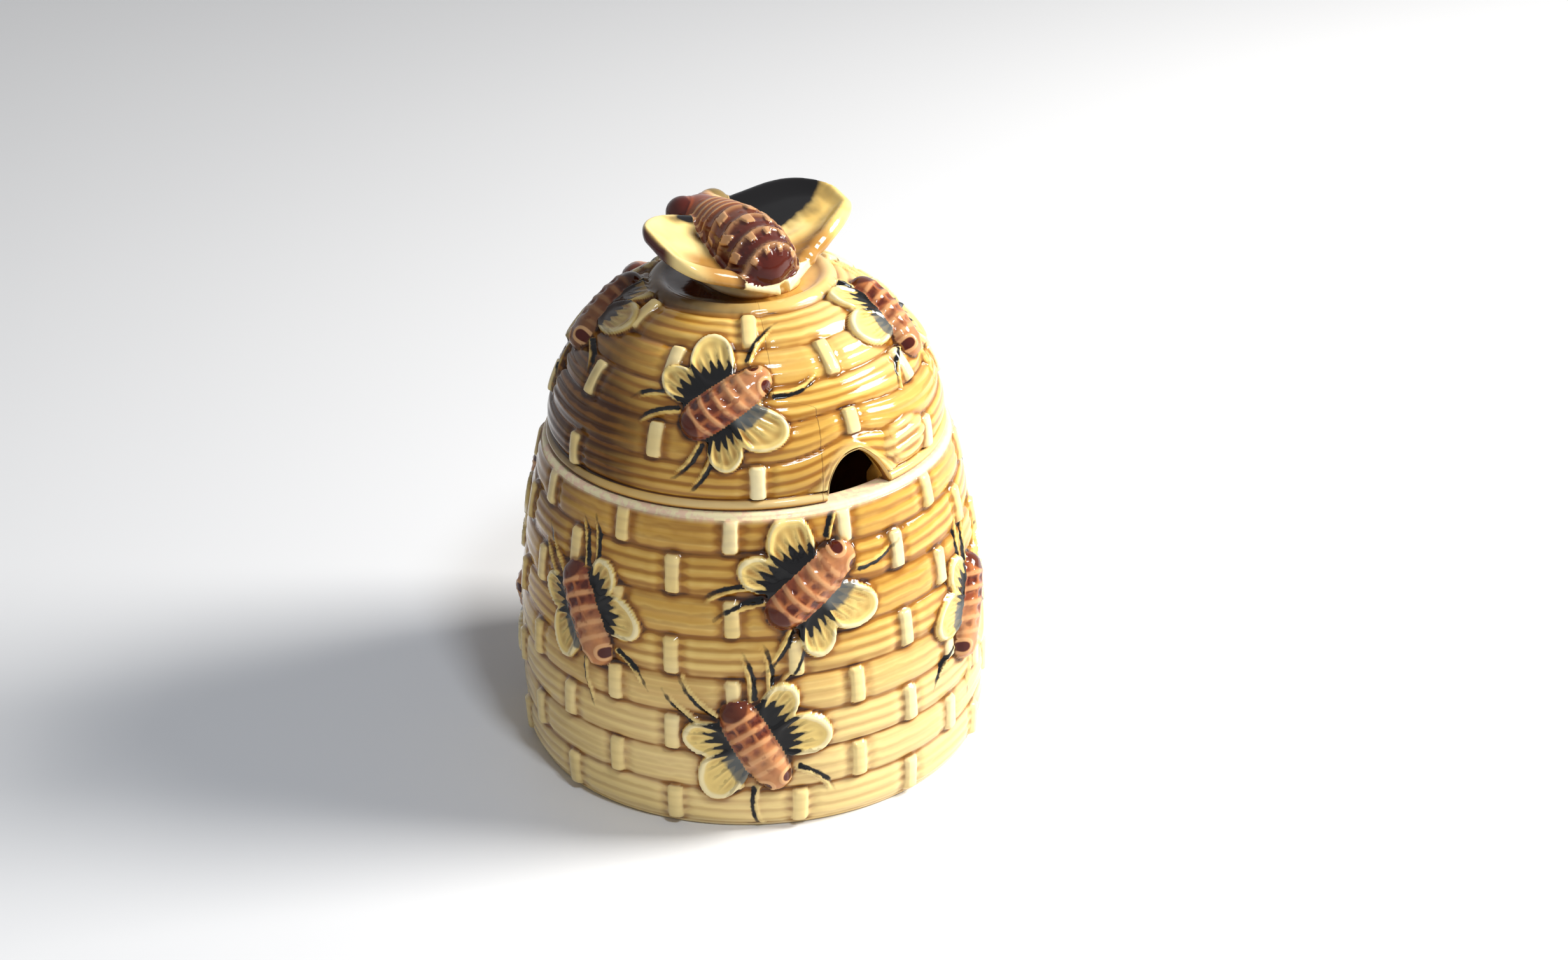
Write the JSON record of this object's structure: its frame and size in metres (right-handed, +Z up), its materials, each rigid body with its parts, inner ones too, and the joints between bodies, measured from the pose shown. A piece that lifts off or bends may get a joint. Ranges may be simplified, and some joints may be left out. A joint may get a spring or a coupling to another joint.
{
  "type": "honey pot with lift-off lid",
  "caption": "Beehive honey pot in honey-glazed ceramic: woven barrel pot, loose domed lid with an arched spoon notch, and a large bee knob.",
  "frame": {"origin": "centre of the foot, on the surface the pot stands on", "axes": "+Z up along the pot's axis, -Y towards the lid's spoon notch and the tail of the bee knob"},
  "size_m": [0.0936, 0.0936, 0.1107],
  "materials": {
    "honey_glaze": "gloss",
    "bee_glaze": "gloss"
  },
  "bodies": {
    "pot": {"pot": "honey_glaze"},
    "lid": {"lid": "honey_glaze", "bee_knob": "bee_glaze"}
  },
  "joints": [
    {"name": "lid_lift", "type": "slide", "parent": "pot", "child": "lid", "axis": [0, 0, 1], "range_m": [0, 0.08]}
  ]
}
